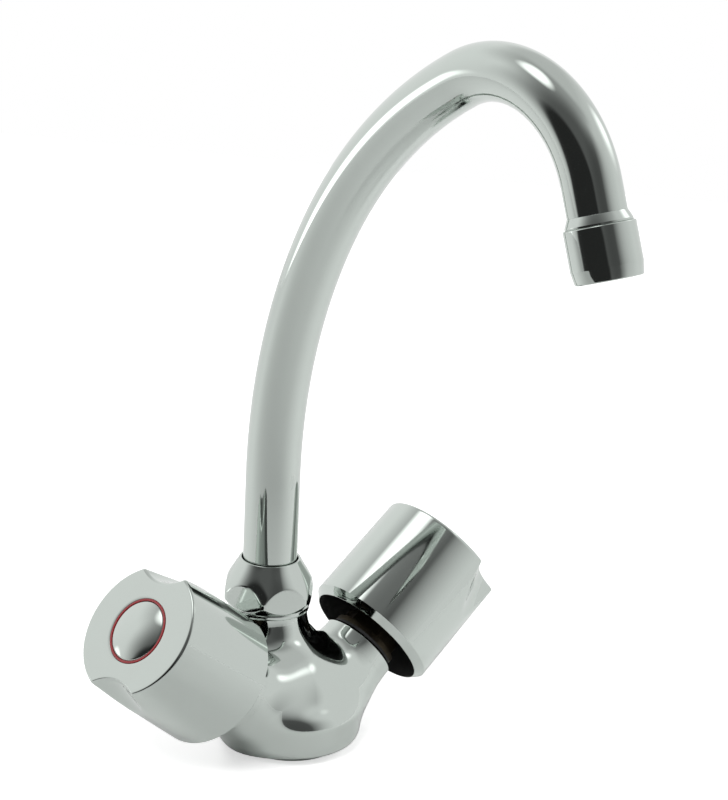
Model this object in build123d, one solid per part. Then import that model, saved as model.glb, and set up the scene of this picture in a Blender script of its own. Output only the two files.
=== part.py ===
from build123d import *
from math import atan2, copysign, cos, degrees, hypot, pi, radians, sin
import os

# Two-handle monobloc basin mixer tap with a high swivel tube spout.
# Millimetres and degrees. The origin is the centre of the foot's underside and +Z is up. The user
# stands at -Y. The hot arm rises towards -X and the cold arm towards +X, in the XZ plane, and the
# upright axis of the spout stands behind the arms, at +Y. Each arm with its valve and knob is drawn
# upright, with heights measured along the arm from the crossing of the arm axes, and then tilted.

# Fits
RUNNING = 0.05
THREAD_GAP = 0.05
GUIDE_GAP = 0.1
OVER = 1.0

# Body casting
FOOT_R = 17.8
FOOT_H = 2.6
HULL_R = 26.0
HULL_H = 10.0
HULL_LOW_ROUND = 6.0
HULL_TOP_ROUND = 3.0
ROUND_SHARE = 0.8
ARM_TILT = 37.2
ARM_CROSS_Z = 5.9
ARM_END = 41.5
ARM_ROUND = 1.2
NECK_Y = 14.7
NECK_R = 14.4
NECK_BLEND = 5.0
COLLAR_STEP = 0.6
COLLAR_H = 2.0

# Casting sections: distance back from the arm's end, half width, upper and lower reach, sideways shift
ARM_SECTIONS = ((0.0, 14.5, 15.0, 14.5, 0.0), (6.0, 15.3, 16.3, 15.2, 0.3), (13.5, 18.8, 18.4, 17.0, 1.2))
CENTRE_SECTION = (4.0, 28.6, 25.0, 10.6)
CENTRE_Z = 13.5
LOWER_FULLNESS = 3.0
SECTION_POINTS = 24

# Body waterways and fixing holes
INLET_R = 4.5
INLET_DEPTH = 14.0
INLET_X = 6.2
INLET_Y = 5.0
STUD_R = 3.4
STUD_DEPTH = 16.0
STUD_Y = -8.0
PASSAGE_R = 3.5
PASSAGE_START = 8.0
CROSS_R = 3.0
SEAL_SECTION_R = 1.1
SEAL_INSET = 2.9

# Spout tube: an upright run, three arcs, each with its radius and turn, and a short end run
TUBE_R = 10.0
TUBE_WALL = 1.0
TUBE_RISE_Z = 100.0
TUBE_ARC_R = (206.6, 175.3, 42.6)
TUBE_ARC_TURN = (28.8, 30.5, 100.6)
TUBE_END_RUN = 10.0

# Spout bearing inside the neck
BEARING_R = 9.0
BEARING_FLOOR_Z = 26.0
SPIGOT_H = 7.0
TAIL_GAP = 5.0
TAIL_BORE_R = 6.0
TAIL_PLUG_L = 10.0
RING_WIDE = 2.3
RING_GAP = 0.75
RING_H = 1.0
FLANGE_H = 2.0
SPOUT_SEAL_R = 0.9
SPOUT_SEAL_START = 3.6
SPOUT_SEAL_STEP = 5.4

# Spout nut. Its cone runs from the belly to the top through points given as shares of its height
# and of the way out from its top radius to its belly radius.
NUT_BOTTOM_Z = 51.0
NUT_H = 17.6
NUT_BELLY_H = 5.0
NUT_HOLE_GAP = 0.45
NUT_TOP_WALL = 0.75
NUT_FOOT_STEP = 0.2
NUT_FLAT_STEP = 0.3
NUT_BELLY_STEP = 2.0
NUT_EDGE = 2.0
NUT_TURN = -17.0
NUT_CONE = ((0.79, 0.25), (0.53, 0.56), (0.4, 0.69), (0.22, 0.85))

# Outlet and aerator
FERRULE_L = 3.7
FERRULE_STEP = 0.5
FERRULE_EDGE = 0.75
FERRULE_PLUG_L = 8.0
OUTLET_THREAD_STEP = 0.8
OUTLET_THREAD_L = 6.0
OUTLET_WALL = 3.3
AERATOR_WALL = 1.26
AERATOR_TAPER = 0.76
AERATOR_TAPER_L = 4.5
AERATOR_L = 18.0
AERATOR_EDGE = 0.4
AERATOR_BORE_STEP = 0.6
AERATOR_LIP_WIDE = 1.0
AERATOR_LIP_H = 1.2
AERATOR_WASHER_H = 1.6
CAGE_SLOTS = 20
CAGE_SLOT_R = 6.9
CAGE_SLOT_L = 2.76
SCREEN_H = 1.0
SCREEN_HOLE_R = 0.7
SCREEN_PITCH = 2.4

# Knobs, with depths from the face
KNOB_GAP = 4.1
KNOB_BEVEL_L = 2.6
KNOB_L = 43.1
KNOB_REAR_R = 25.4
KNOB_TAPER = 0.5
KNOB_WALL = 2.8
KNOB_LIP = 0.4
KNOB_EDGE = 1.0
KNOB_WEB_DEPTH = 11.3
KNOB_WEB_H = 6.0
KNOB_WEB_R = 16.0
KNOB_SLOPE_H = 8.0
HUB_R = 8.0
HUB_GAP = 1.15
HUB_SPIGOT_R = 6.0
SCALLOP_R = 19.7
SCALLOP_DEPTH = 5.7
SCALLOP_L = 17.5
SCALLOP_TURN = {"hot": 7.0, "cold": -73.0}
INDEX_R = 12.6
INDEX_WIDTH = 1.5
INDEX_DEPTH = 3.3
INDEX_RISE = 0.6
CAP_RISE = 2.0
CAP_SEAT = 1.15
CAP_SKIRT_H = 4.0
CAP_WALL = 1.2
KNOB_SCREW_R = 2.45
KNOB_SCREW_L = 20.0
KNOB_SCREW_HEAD_R = 4.5
KNOB_SCREW_HEAD_H = 3.0
KNOB_SCREW_SOCKET = 4.5

# Valves
THREAD_R = 10.4
THREAD_L = 11.8
BORE_GAP = 0.2
GASKET_H = 1.2
CHAMBER_R = 8.6
CHAMBER_L = 9.2
SEAT_RISE = 1.5
SEAT_HOLE_R = 4.0
SEAT_HOLE_L = 2.5
SEAT_WALL = 1.5
VALVE_LIFT = 4.0
LIFT_GAP = 0.7
WASHER_R = 7.0
VALVE_WASHER_H = 3.5
CARRIER_R = 7.4
CARRIER_H = 2.5
CARRIER_WIDE = 9.0
CARRIER_FLOOR = 1.0
CARRIER_STUD_R = 1.9
CARRIER_STUD_END = 0.7
CARRIER_NUT_WIDE = 5.5
CARRIER_NUT_H = 2.0
SKIRT_GAP = 0.6
FLANGE_WIDE = 2.4
RIM_H = 2.0
HEX_WIDE = 20.0
HEX_H = 5.0
BOSS_R = 9.0
BOSS_H = 2.0
STACK_R = 7.0
SCREW_R = 2.95
SCREW_GAP = 0.2
THRUST_GAP = 0.2
THRUST_H = 2.5
SPINDLE_R = 4.95
SPINDLE_SEAL_R = 0.775
SPINDLE_SEAL_INSET = 2.325
GLAND_HEX = 16.0
GLAND_HEX_H = 2.5
CIRCLIP_WIDE = 1.25
CIRCLIP_H = 0.8
CIRCLIP_DEPTH = 0.6
CIRCLIP_MOUTH = 1.6
SPLINE_STEP = 1.0
SPLINE_DEPTH = 0.4
SPLINE_TEETH = 20
SPLINE_L = 14.0

SIDES = {"hot": -1, "cold": 1}
UP = (Align.CENTER, Align.CENTER, Align.MIN)

# Radii that follow from the sizes above
COLLAR_R = NECK_R + COLLAR_STEP
SEAL_R = FOOT_R - SEAL_INSET
RING_R = TUBE_R + RING_WIDE
NUT_CAVITY_R = RING_R + RING_GAP
SPIGOT_R = NUT_CAVITY_R - THREAD_GAP
NUT_HOLE_R = TUBE_R + NUT_HOLE_GAP
NUT_TOP_R = NUT_HOLE_R + NUT_TOP_WALL
NUT_FOOT_R = COLLAR_R + NUT_FOOT_STEP
NUT_FLAT = NUT_FOOT_R + NUT_FLAT_STEP
NUT_BELLY_R = NUT_FLAT + NUT_BELLY_STEP
TUBE_BORE_R = TUBE_R - TUBE_WALL
OUTLET_THREAD_R = TUBE_R + OUTLET_THREAD_STEP
OUTLET_BORE_R = OUTLET_THREAD_R - OUTLET_WALL
FERRULE_R = OUTLET_THREAD_R + FERRULE_STEP
AERATOR_R = OUTLET_THREAD_R + AERATOR_WALL
AERATOR_TIP_R = AERATOR_R - AERATOR_TAPER
AERATOR_BORE_R = OUTLET_THREAD_R - AERATOR_BORE_STEP
AERATOR_LIP_R = AERATOR_BORE_R - AERATOR_LIP_WIDE
KNOB_FACE_R = KNOB_REAR_R - KNOB_TAPER
KNOB_CAVITY_R = KNOB_REAR_R - KNOB_WALL
CAP_R = INDEX_R - INDEX_WIDTH - RUNNING
CAP_SKIRT_R = CAP_R - CAP_SEAT
SEAT_R = SEAT_HOLE_R + SEAT_WALL
SKIRT_R = CARRIER_R + SKIRT_GAP
FLANGE_R = THREAD_R + FLANGE_WIDE
THRUST_R = STACK_R - THRUST_GAP
CIRCLIP_R = SPINDLE_R + CIRCLIP_WIDE
SPLINE_R = SPINDLE_R - SPLINE_STEP

# Heights above the foot that follow
NECK_TOP = NUT_BOTTOM_Z + SPIGOT_H
FLANGE_Z = NECK_TOP + RING_H
TUBE_LOW_Z = FLANGE_Z + FLANGE_H
TAIL_LOW_Z = BEARING_FLOOR_Z + TAIL_GAP
NUT_BELLY_Z = NUT_BOTTOM_Z + NUT_BELLY_H
NUT_TOP_Z = NUT_BOTTOM_Z + NUT_H

# Heights along the arm that follow
BONNET_LOW = ARM_END - THREAD_L
SEAT_FLOOR = BONNET_LOW - CHAMBER_L
SEAT = SEAT_FLOOR + SEAT_RISE
CARRIER_LOW = SEAT + VALVE_WASHER_H
FLANGE_LOW = ARM_END + GASKET_H
BONNET_TOP = FLANGE_LOW + RIM_H + HEX_H + BOSS_H
THRUST_LOW = FLANGE_LOW
CARRIER_TOP = THRUST_LOW - VALVE_LIFT - LIFT_GAP
SCREW_LOW = CARRIER_LOW + CARRIER_FLOOR + VALVE_LIFT + SCREW_GAP
SKIRT_TOP = CARRIER_LOW + CARRIER_H + VALVE_LIFT + LIFT_GAP
GUIDE_TOP = THRUST_LOW - RUNNING
GLAND_LOW = THRUST_LOW + THRUST_H + RUNNING
CIRCLIP_LOW = BONNET_TOP + GLAND_HEX_H + RUNNING
SPLINE_LOW = CIRCLIP_LOW + 2 * CIRCLIP_H
SPLINE_TOP = SPLINE_LOW + SPLINE_L
KNOB_MOUTH = ARM_END + KNOB_GAP
KNOB_REAR = KNOB_MOUTH + KNOB_BEVEL_L
KNOB_FACE = KNOB_REAR + KNOB_L
KNOB_WEB_TOP = KNOB_FACE - KNOB_WEB_DEPTH
KNOB_WEB_LOW = KNOB_WEB_TOP - KNOB_WEB_H
KNOB_SLOPE_LOW = KNOB_WEB_LOW - KNOB_SLOPE_H
HUB_LOW = SPLINE_LOW + HUB_GAP
INDEX_FLOOR = KNOB_FACE - INDEX_DEPTH


def rod(radius, low, high):
    """Solid round bar about Z between two heights."""
    return Pos(0, 0, low) * Cylinder(radius, high - low, align=UP)


def sleeve(outer, inner, low, high):
    """Round tube about Z between two heights."""
    return rod(outer, low, high) - rod(inner, low - OVER, high + OVER)


def hexagon(across, low, high):
    """Hexagonal bar about Z, measured across its flats."""
    face = RegularPolygon(across / 2, 6, major_radius=False)
    return extrude(Pos(0, 0, low) * face, high - low)


def square(wide, low, high):
    return Pos(0, 0, low) * Box(wide, wide, high - low, align=UP)


def turned(*profile):
    """Solid of revolution about Z from a closed outline of (radius, height) points."""
    outline = Polyline(*[(r, 0, z) for r, z in profile], close=True)
    return revolve(make_face(outline), Axis.Z)


def o_ring(centre_r, section_r, height):
    return Pos(0, 0, height) * Torus(centre_r, section_r)


def on_arm(side, shape):
    """Tilts an upright shape onto the hot or the cold arm."""
    return Location((0, 0, ARM_CROSS_Z), (0, SIDES[side] * (90 - ARM_TILT), 0)) * shape


def on_neck(shape):
    return Pos(0, NECK_Y, 0) * shape


def edges_on(shape, plane):
    """Edges that lie wholly in a plane."""
    samples = (0, 0.3, 0.7)
    return [e for e in shape.edges() if all(abs(plane.to_local_coords(e @ t).Z) < 0.01 for t in samples)]


def level_edges(shape, height):
    return edges_on(shape, Plane.XY.offset(height))


# Body casting

def section(plane, shift, half, up, down, fullness):
    """Closed smooth outline: an ellipse above its centre line and a fuller curve below it."""
    points = []
    for i in range(SECTION_POINTS):
        angle = 2 * pi * i / SECTION_POINTS
        c, s = cos(angle), sin(angle)
        power = 1 if s >= 0 else 2 / fullness
        reach = up if s >= 0 else down
        x = shift + half * copysign(abs(c) ** power, c)
        points.append(plane.from_local_coords((x, reach * copysign(abs(s) ** power, s), 0)))
    return Face(Wire([Edge.make_spline(points, periodic=True)]))


def arm_plane(side, place):
    """Plane square to an arm. Both arms' planes face +X, so that one loft runs through them."""
    sign = SIDES[side]
    along = Vector(sign * cos(radians(ARM_TILT)), 0, sin(radians(ARM_TILT)))
    return Plane(origin=Vector(0, 0, ARM_CROSS_Z) + along * place, x_dir=(0, 1, 0), z_dir=along * sign)


def arm_section(side, back, half, up, down, shift):
    return section(arm_plane(side, ARM_END - back), shift, half, up, down, 2)


def neck_seam(shape):
    """Edges where the neck leaves the arms' form."""
    neck = [f for f in shape.faces() if f.geom_type == GeomType.CYLINDER and abs(f.radius - NECK_R) < 0.01]
    return [e for f in neck for e in f.edges() if e.geom_type == GeomType.BSPLINE]


def casting():
    """Outer form: two arms in one loft, a rounded hull over the foot, and the spout neck."""
    sections = [arm_section("hot", *values) for values in ARM_SECTIONS]
    middle = Plane(origin=(0, 0, CENTRE_Z), x_dir=(0, 1, 0), z_dir=(1, 0, 0))
    shift, half, up, down = CENTRE_SECTION
    sections.append(section(middle, shift, half, up, down, LOWER_FULLNESS))
    sections += [arm_section("cold", *values) for values in reversed(ARM_SECTIONS)]
    arms = loft(sections)
    for side in SIDES:
        arms = fillet(edges_on(arms, arm_plane(side, ARM_END)), ARM_ROUND)
    hull = rod(HULL_R, FOOT_H, FOOT_H + HULL_H)
    hull = fillet(level_edges(hull, FOOT_H), HULL_LOW_ROUND)
    top_round = min(HULL_TOP_ROUND, ROUND_SHARE * (HULL_H - HULL_LOW_ROUND))
    hull = fillet(level_edges(hull, FOOT_H + HULL_H), top_round)
    neck = on_neck(rod(NECK_R, HULL_H, NUT_BOTTOM_Z))
    collar = on_neck(rod(COLLAR_R, NUT_BOTTOM_Z - COLLAR_H, NUT_BOTTOM_Z))
    spigot = on_neck(rod(SPIGOT_R, NUT_BOTTOM_Z - COLLAR_H, NECK_TOP))
    shape = arms + hull + neck + collar + spigot + rod(FOOT_R, 0, FOOT_H + HULL_LOW_ROUND)
    return fillet(neck_seam(shape), NECK_BLEND)


def valve_bore(side):
    """Threaded mouth, water chamber, seat hole and inlet passage of one arm."""
    bore = rod(THREAD_R + THREAD_GAP, BONNET_LOW - BORE_GAP, ARM_END + 2 * OVER)
    bore += sleeve(CHAMBER_R, SEAT_R, SEAT_FLOOR, BONNET_LOW)
    bore += rod(CHAMBER_R, SEAT, BONNET_LOW)
    bore += rod(SEAT_HOLE_R, SEAT_FLOOR - SEAT_HOLE_L, SEAT)
    bore += rod(PASSAGE_R, PASSAGE_START, SEAT_FLOOR)
    return on_arm(side, bore)


def cross_channel(side):
    """Drilled way from a water chamber to the bottom of the spout bearing."""
    place = (SEAT + BONNET_LOW) / 2
    start = arm_plane(side, place).origin
    end = Vector(0, NECK_Y, BEARING_FLOOR_Z + CROSS_R)
    plane = Plane(origin=start, z_dir=end - start)
    return plane * Cylinder(CROSS_R, (end - start).length, align=UP)


def base_seal_groove():
    return sleeve(SEAL_R + SEAL_SECTION_R, SEAL_R - SEAL_SECTION_R, -OVER, 2 * SEAL_SECTION_R)


def body():
    shape = casting()
    shape -= on_neck(rod(BEARING_R, BEARING_FLOOR_Z, NECK_TOP + OVER))
    for side, sign in SIDES.items():
        shape -= valve_bore(side)
        shape -= cross_channel(side)
        shape -= Pos(sign * INLET_X, INLET_Y, 0) * rod(INLET_R, -OVER, INLET_DEPTH)
    shape -= Pos(0, STUD_Y, 0) * rod(STUD_R, -OVER, STUD_DEPTH)
    return shape - base_seal_groove()


def base_gasket():
    return o_ring(SEAL_R, SEAL_SECTION_R, SEAL_SECTION_R)


# Spout bearing and nut

def spout_nut():
    """Conical ring nut with six flats that meet its cone in curved edges."""
    high = NUT_TOP_Z - NUT_BELLY_Z
    rise = [(NUT_TOP_R + (NUT_BELLY_R - NUT_TOP_R) * out, 0, NUT_BELLY_Z + high * up) for up, out in NUT_CONE]
    top = (NUT_TOP_R, 0, NUT_TOP_Z)
    belly = (NUT_BELLY_R, 0, NUT_BELLY_Z)
    edge = (NUT_BELLY_R, 0, NUT_BELLY_Z - NUT_EDGE)
    foot = (NUT_FOOT_R, 0, NUT_BOTTOM_Z)
    curve = Spline(top, *rise, belly)
    rest = Polyline(belly, edge, foot, (0, 0, NUT_BOTTOM_Z), (0, 0, NUT_TOP_Z), top)
    nut = revolve(make_face(curve + rest), Axis.Z)
    nut &= hexagon(2 * NUT_FLAT, NUT_BOTTOM_Z, NUT_TOP_Z)
    nut -= rod(NUT_HOLE_R, NUT_BOTTOM_Z - OVER, NUT_TOP_Z + OVER)
    nut -= rod(NUT_CAVITY_R, NUT_BOTTOM_Z - OVER, TUBE_LOW_Z + RING_H + RUNNING)
    return on_neck(Rot(0, 0, NUT_TURN) * nut)


def spout_tail():
    """Bearing plug of the spout: a flange held under the nut, and a stem with two seal grooves."""
    tail = rod(BEARING_R - RUNNING, TAIL_LOW_Z, FLANGE_Z)
    tail += rod(RING_R, FLANGE_Z, TUBE_LOW_Z)
    tail += rod(TUBE_BORE_R, TUBE_LOW_Z, TUBE_LOW_Z + TAIL_PLUG_L)
    tail -= rod(TAIL_BORE_R, TAIL_LOW_Z - OVER, TUBE_LOW_Z + TAIL_PLUG_L + OVER)
    for height in spout_seal_heights():
        low, high = height - SPOUT_SEAL_R, height + SPOUT_SEAL_R
        tail -= sleeve(BEARING_R, BEARING_R - RUNNING - 2 * SPOUT_SEAL_R, low, high)
    return on_neck(tail)


def spout_seal_heights():
    first = TAIL_LOW_Z + SPOUT_SEAL_START
    return (first, first + SPOUT_SEAL_STEP)


def spout_orings():
    rings = [o_ring(BEARING_R - RUNNING - SPOUT_SEAL_R, SPOUT_SEAL_R, z) for z in spout_seal_heights()]
    return on_neck(rings[0] + rings[1])


def spout_slide_ring():
    return on_neck(sleeve(RING_R, BEARING_R + RUNNING, NECK_TOP, NECK_TOP + RING_H))


def spout_thrust_ring():
    return on_neck(sleeve(RING_R, TUBE_R + RUNNING, TUBE_LOW_Z, TUBE_LOW_Z + RING_H))


# Spout tube and outlet

def tube_path():
    """Centre line of the tube, in the plane through the neck that looks along -X."""
    lines = [Line((0, TUBE_LOW_Z), (0, TUBE_RISE_Z))]
    for radius, turn in zip(TUBE_ARC_R, TUBE_ARC_TURN):
        last = lines[-1]
        lines.append(JernArc(last @ 1, last % 1, radius, -turn))
    last = lines[-1]
    end = last % 1
    lines.append(Line(last @ 1, (last @ 1) + end * TUBE_END_RUN))
    plane = Plane(origin=(0, NECK_Y, 0), x_dir=(0, -1, 0), z_dir=(-1, 0, 0))
    return plane * Wire([line.edge() for line in lines])


def spout_tube():
    path = tube_path()
    start = Plane(origin=path @ 0, z_dir=path % 0)
    outer = sweep(start * Circle(TUBE_R), path)
    inner = sweep(start * Circle(TUBE_BORE_R), path)
    return outer - inner


def on_outlet(shape):
    """Places a shape drawn upright at the outlet: height 0 is the aerator's top, water runs down."""
    path = tube_path()
    origin = (path @ 1) + (path % 1) * FERRULE_L
    return Plane(origin=origin, x_dir=(1, 0, 0), z_dir=(path % 1) * -1) * shape


def outlet_ferrule():
    """Flared collar brazed on the tube's end, with the thread that carries the aerator."""
    ferrule = turned((0, -OUTLET_THREAD_L), (OUTLET_THREAD_R, -OUTLET_THREAD_L), (OUTLET_THREAD_R, 0),
                     (FERRULE_R, 0), (FERRULE_R, FERRULE_EDGE), (TUBE_R, FERRULE_L), (0, FERRULE_L))
    ferrule += rod(TUBE_BORE_R, FERRULE_L, FERRULE_L + FERRULE_PLUG_L)
    ferrule -= rod(OUTLET_BORE_R, -OUTLET_THREAD_L - OVER, FERRULE_L + FERRULE_PLUG_L + OVER)
    return on_outlet(ferrule)


def aerator_housing():
    """Round sleeve with a tapered foot, threaded inside at the top."""
    tip = -AERATOR_L
    housing = turned((0, 0), (AERATOR_R, 0), (AERATOR_R, tip + AERATOR_TAPER_L), (AERATOR_TIP_R, tip),
                     (0, tip))
    housing = chamfer(level_edges(housing, 0), AERATOR_EDGE)
    housing = fillet(level_edges(housing, tip), AERATOR_EDGE)
    housing -= rod(OUTLET_THREAD_R + THREAD_GAP, -OUTLET_THREAD_L - AERATOR_WASHER_H, OVER)
    housing -= rod(AERATOR_BORE_R, tip + AERATOR_LIP_H, OVER)
    housing -= rod(AERATOR_LIP_R, tip - OVER, OVER)
    return on_outlet(housing)


def aerator_washer():
    low = -OUTLET_THREAD_L - AERATOR_WASHER_H
    return on_outlet(sleeve(OUTLET_THREAD_R, OUTLET_BORE_R, low, -OUTLET_THREAD_L))


def aerator_insert():
    """Mixing cage: a rim, a jet plate with a ring of slots, and a central cone."""
    low = -AERATOR_L + AERATOR_LIP_H + SCREEN_H
    high = -OUTLET_THREAD_L - AERATOR_WASHER_H
    wall = AERATOR_BORE_R - AERATOR_LIP_R
    cage = sleeve(AERATOR_BORE_R - RUNNING, AERATOR_LIP_R, low, high)
    plate = rod(AERATOR_LIP_R, high - wall, high)
    for i in range(CAGE_SLOTS):
        slot = Pos(CAGE_SLOT_R, 0, high - wall) * Box(CAGE_SLOT_L, wall, 3 * wall)
        plate -= Rot(0, 0, 360 / CAGE_SLOTS * i) * slot
    cone = Pos(0, 0, high - 4 * wall) * Cone(wall / 2, AERATOR_LIP_R / 2, 3 * wall, align=UP)
    return on_outlet(cage + plate + cone)


def aerator_screen():
    """Outlet grid on a triangular pitch."""
    low = -AERATOR_L + AERATOR_LIP_H
    screen = rod(AERATOR_BORE_R - RUNNING, low, low + SCREEN_H)
    reach = AERATOR_LIP_R - SCREEN_HOLE_R - SCREEN_PITCH / 4
    count = int(reach / SCREEN_PITCH) + 1
    holes = []
    for row in range(-count, count + 1):
        for column in range(-count - 1, count + 2):
            x = SCREEN_PITCH * (column + row / 2)
            y = SCREEN_PITCH * row * sin(radians(60))
            if hypot(x, y) < reach:
                holes.append(Pos(x, y, low - OVER) * Cylinder(SCREEN_HOLE_R, SCREEN_H + 2 * OVER, align=UP))
    return on_outlet(screen - holes)


# Knobs

def spline_bar(radius, low, high):
    """Fine-toothed round bar."""
    corners = []
    for i in range(2 * SPLINE_TEETH):
        angle = pi * i / SPLINE_TEETH
        r = radius if i % 2 == 0 else radius - SPLINE_DEPTH
        corners.append((r * cos(angle), r * sin(angle)))
    face = make_face(Polyline(*corners, close=True))
    return extrude(Pos(0, 0, low) * face, high - low)


def scallop(turn):
    """Tilted round cutter that bites the knob's rim most deeply at the face."""
    lean = degrees(atan2(SCALLOP_DEPTH, SCALLOP_L))
    cutter = Cylinder(SCALLOP_R, 4 * SCALLOP_L)
    reach = KNOB_FACE_R - SCALLOP_DEPTH + SCALLOP_R / cos(radians(lean))
    return Rot(0, 0, turn) * Location((reach, 0, KNOB_FACE), (0, -lean, 0)) * cutter


def knob_casting(side):
    """Whole hollow knob, upright: a tapered shell with two scallops, a web and a recess in its face."""
    shell = turned((0, KNOB_MOUTH), (KNOB_CAVITY_R + KNOB_LIP, KNOB_MOUTH), (KNOB_REAR_R, KNOB_REAR),
                   (KNOB_FACE_R, KNOB_FACE), (0, KNOB_FACE))
    for offset in (0, 180):
        shell -= scallop(SCALLOP_TURN[side] + offset)
    shell = fillet(level_edges(shell, KNOB_FACE), KNOB_EDGE)
    shell -= turned((0, KNOB_MOUTH - OVER), (KNOB_CAVITY_R, KNOB_MOUTH - OVER),
                    (KNOB_CAVITY_R, KNOB_SLOPE_LOW), (KNOB_WEB_R, KNOB_WEB_LOW), (0, KNOB_WEB_LOW))
    shell -= rod(HUB_SPIGOT_R + THREAD_GAP, KNOB_MOUTH, KNOB_FACE)
    shell -= rod(CAP_SKIRT_R + THREAD_GAP, KNOB_WEB_TOP, KNOB_FACE + OVER)
    return shell - rod(INDEX_R + THREAD_GAP, INDEX_FLOOR, KNOB_FACE + OVER)


def knob_rear():
    """Block that holds all of a knob behind its web."""
    return rod(2 * KNOB_REAR_R, KNOB_MOUTH - OVER, KNOB_WEB_LOW)


def knob(side):
    """Head of the knob, from its web to its face."""
    return on_arm(side, knob_casting(side) - knob_rear())


def knob_skirt(side):
    """Hollow skirt of the same casting, from its web to its mouth."""
    return on_arm(side, knob_casting(side) & knob_rear())


def knob_insert(side):
    """Hub pressed into the knob, with the toothed socket that sits on the spindle."""
    hub = rod(HUB_R, HUB_LOW, KNOB_WEB_LOW) + rod(HUB_SPIGOT_R, KNOB_WEB_LOW, KNOB_WEB_TOP)
    hub -= spline_bar(SPLINE_R + THREAD_GAP, HUB_LOW - OVER, SPLINE_TOP + RUNNING)
    return on_arm(side, hub - rod(KNOB_SCREW_R + THREAD_GAP, HUB_LOW, KNOB_FACE))


def index_ring(side):
    ring = sleeve(INDEX_R, INDEX_R - INDEX_WIDTH, INDEX_FLOOR, KNOB_FACE + INDEX_RISE)
    return on_arm(side, fillet(level_edges(ring, KNOB_FACE + INDEX_RISE), INDEX_RISE / 2))


def index_cap(side):
    """Domed cap with a skirt that presses into the knob's recess."""
    dome_r = (CAP_R ** 2 + CAP_RISE ** 2) / (2 * CAP_RISE)
    dome = Pos(0, 0, KNOB_FACE + CAP_RISE - dome_r) * Sphere(dome_r)
    cap = rod(CAP_R, INDEX_FLOOR, KNOB_FACE + CAP_RISE) & dome
    cap += sleeve(CAP_SKIRT_R, CAP_SKIRT_R - CAP_WALL, INDEX_FLOOR - CAP_SKIRT_H, INDEX_FLOOR + OVER)
    return on_arm(side, cap)


def knob_screw(side):
    """Pan-head screw with a hexagon socket."""
    head_top = KNOB_WEB_TOP + KNOB_SCREW_HEAD_H
    screw = rod(KNOB_SCREW_R, KNOB_WEB_TOP - KNOB_SCREW_L, head_top)
    screw += rod(KNOB_SCREW_HEAD_R, KNOB_WEB_TOP, head_top)
    screw -= hexagon(KNOB_SCREW_SOCKET, head_top - KNOB_SCREW_HEAD_H / 2, head_top + OVER)
    return on_arm(side, screw)


# Valves

def bonnet(side):
    """Headwork: threaded skirt with a square guide, spanner flange and a boss for the gland."""
    shape = rod(THREAD_R, BONNET_LOW, FLANGE_LOW)
    shape += rod(FLANGE_R, FLANGE_LOW, FLANGE_LOW + RIM_H)
    shape += hexagon(HEX_WIDE, FLANGE_LOW, FLANGE_LOW + RIM_H + HEX_H)
    shape += rod(BOSS_R, FLANGE_LOW, BONNET_TOP)
    shape -= rod(SKIRT_R, BONNET_LOW - OVER, SKIRT_TOP)
    shape -= square(CARRIER_WIDE + 2 * GUIDE_GAP, BONNET_LOW, BONNET_TOP)
    shape -= rod(STACK_R, GUIDE_TOP, BONNET_TOP + OVER)
    return on_arm(side, shape)


def bonnet_gasket(side):
    return on_arm(side, sleeve(FLANGE_R, THREAD_R + THREAD_GAP, ARM_END, FLANGE_LOW))


def gland(side):
    """Hexagon-headed bush that closes the bonnet round the spindle."""
    shape = rod(STACK_R - THREAD_GAP, GLAND_LOW, BONNET_TOP)
    shape += hexagon(GLAND_HEX, BONNET_TOP, BONNET_TOP + GLAND_HEX_H)
    return on_arm(side, shape - rod(SPINDLE_R + RUNNING, GLAND_LOW - OVER, BONNET_TOP + GLAND_HEX_H + OVER))


def seal_heights():
    return (GLAND_LOW + SPINDLE_SEAL_INSET, BONNET_TOP - SPINDLE_SEAL_INSET)


def spindle(side):
    """Lifting screw, thrust collar, sealed stem and splined head."""
    shape = rod(SCREW_R, SCREW_LOW, THRUST_LOW)
    shape += rod(THRUST_R, THRUST_LOW, THRUST_LOW + THRUST_H)
    shape += rod(SPINDLE_R, THRUST_LOW, SPLINE_LOW)
    for height in seal_heights():
        low, high = height - SPINDLE_SEAL_R, height + SPINDLE_SEAL_R
        shape -= sleeve(SPINDLE_R + RUNNING, SPINDLE_R - 2 * SPINDLE_SEAL_R, low, high)
    shape -= sleeve(SPINDLE_R + RUNNING, SPINDLE_R - CIRCLIP_DEPTH, CIRCLIP_LOW, CIRCLIP_LOW + CIRCLIP_H)
    shape += spline_bar(SPLINE_R, SPLINE_LOW, SPLINE_TOP)
    shape -= rod(KNOB_SCREW_R + THREAD_GAP, KNOB_WEB_TOP - KNOB_SCREW_L - OVER, SPLINE_TOP + OVER)
    return on_arm(side, shape)


def spindle_orings(side):
    rings = [o_ring(SPINDLE_R - SPINDLE_SEAL_R, SPINDLE_SEAL_R, z) for z in seal_heights()]
    return on_arm(side, rings[0] + rings[1])


def spindle_circlip(side):
    """Open snap ring in the groove above the gland."""
    ring = sleeve(CIRCLIP_R, SPINDLE_R - CIRCLIP_DEPTH, CIRCLIP_LOW, CIRCLIP_LOW + CIRCLIP_H)
    gap = Pos(CIRCLIP_R, 0, CIRCLIP_LOW) * Box(2 * CIRCLIP_R, CIRCLIP_MOUTH, 4 * CIRCLIP_H)
    return on_arm(side, ring - gap)


def washer_carrier(side):
    """Square carrier that the spindle's screw lifts, with a flange and stud for the washer."""
    shape = rod(CARRIER_R, CARRIER_LOW, CARRIER_LOW + CARRIER_H)
    shape += square(CARRIER_WIDE, CARRIER_LOW, CARRIER_TOP)
    shape -= rod(SCREW_R + RUNNING, CARRIER_LOW + CARRIER_FLOOR, CARRIER_TOP + OVER)
    shape += rod(CARRIER_STUD_R, SEAT - CARRIER_NUT_H - CARRIER_STUD_END, CARRIER_LOW)
    return on_arm(side, shape)


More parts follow.
